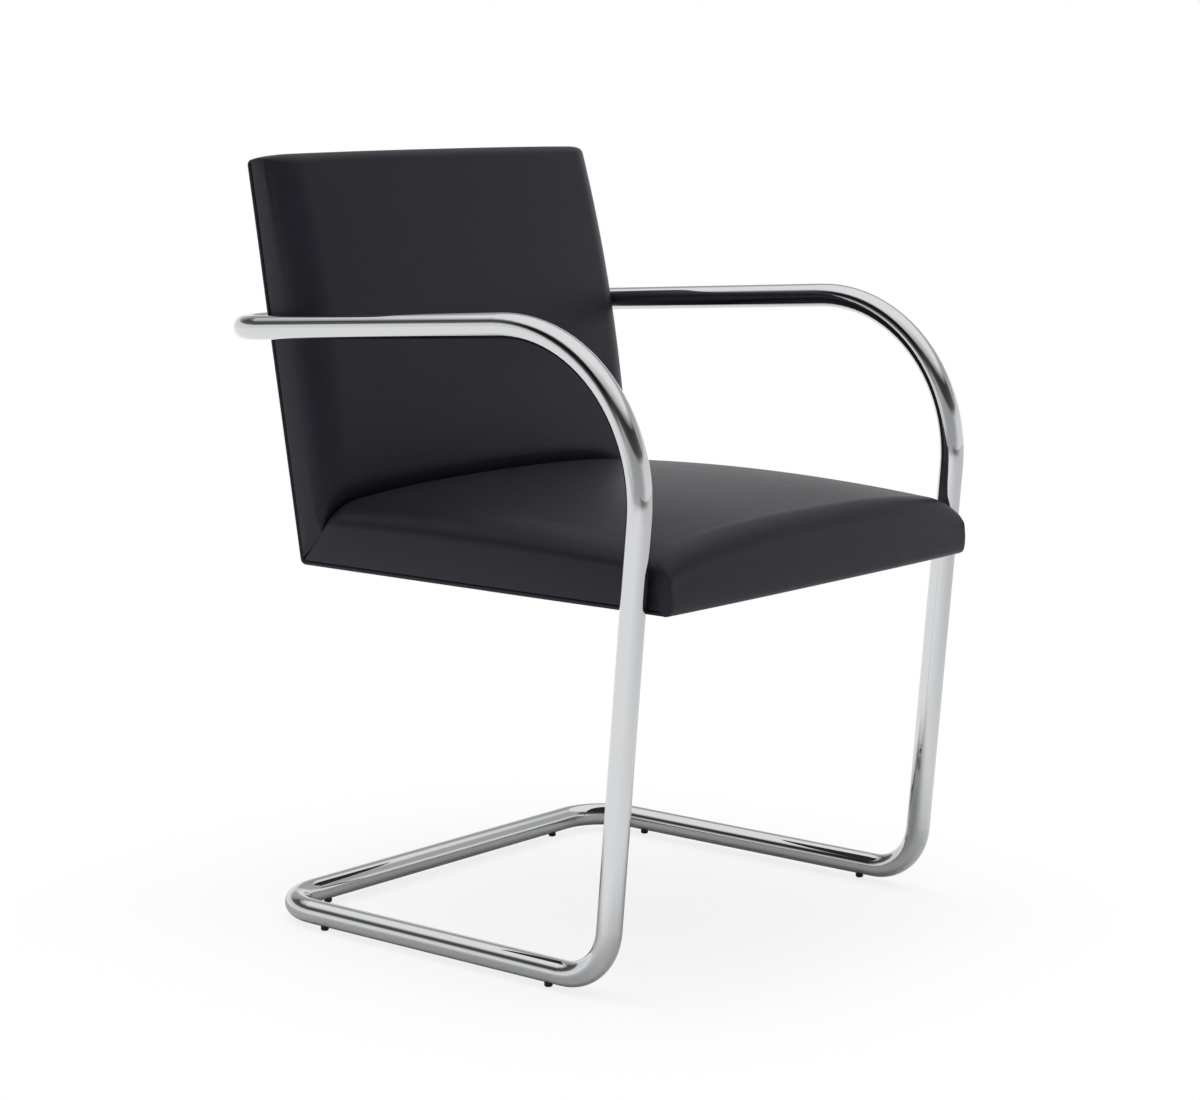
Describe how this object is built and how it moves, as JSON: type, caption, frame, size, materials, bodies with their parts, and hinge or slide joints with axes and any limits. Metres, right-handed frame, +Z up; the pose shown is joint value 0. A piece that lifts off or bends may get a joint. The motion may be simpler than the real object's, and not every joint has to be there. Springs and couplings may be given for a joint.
{
  "type": "cantilever armchair",
  "caption": "Cantilever armchair: a bent chrome tube loop forms floor runners, legs and arms and carries a leather seat and back.",
  "frame": {"origin": "on the floor, under the middle of the chair's width and depth", "axes": "+Z up; the sitter faces -Y; +X points to the sitter's left; the YZ plane is the plane of symmetry"},
  "size_m": [0.5574, 0.6084, 0.8038],
  "materials": {
    "chrome_steel": "polished chrome plate on steel tube",
    "zinc_steel": "bright zinc plate",
    "black_nylon": "moulded nylon, fine texture",
    "black_leather": "smooth satin leather",
    "dust_cover": "hardboard covered in black nonwoven cloth",
    "foam": "open-cell polyurethane foam",
    "jute_webbing": "woven jute band",
    "beech": "planed, unfinished"
  },
  "bodies": {
    "root": {"back_bolts": "chrome_steel", "back_bottom_rail": "beech", "back_cover": "black_leather", "back_foam": "foam", "back_joint_sleeve": "zinc_steel", "back_middle_rail": "beech", "back_spacer_left": "chrome_steel", "back_spacer_right": "chrome_steel", "back_stile_left": "beech", "back_stile_right": "beech", "back_tee_nuts": "zinc_steel", "back_top_rail": "beech", "back_webbing": "jute_webbing", "base_joint_sleeve": "zinc_steel", "corner_plate_left": "zinc_steel", "corner_plate_right": "zinc_steel", "corner_plate_screws": "zinc_steel", "frame_dowels": "beech", "frame_tube_left": "chrome_steel", "frame_tube_right": "chrome_steel", "glide_cross_left": "black_nylon", "glide_cross_right": "black_nylon", "glide_front_left": "black_nylon", "glide_front_right": "black_nylon", "glide_rear_left": "black_nylon", "glide_rear_right": "black_nylon", "leg_bolts": "zinc_steel", "leg_bosses": "zinc_steel", "leg_washers": "zinc_steel", "outer_back_panel": "black_leather", "piping_left": "black_leather", "piping_right": "black_leather", "piping_top": "black_leather", "seat_cover": "black_leather", "seat_foam": "foam", "seat_front_rail": "beech", "seat_rear_rail": "beech", "seat_side_rail_left": "beech", "seat_side_rail_right": "beech", "seat_webbing_crosswise": "jute_webbing", "seat_webbing_lengthwise": "jute_webbing", "underside_panel": "dust_cover", "underside_panel_screws": "zinc_steel"}
  },
  "joints": []
}
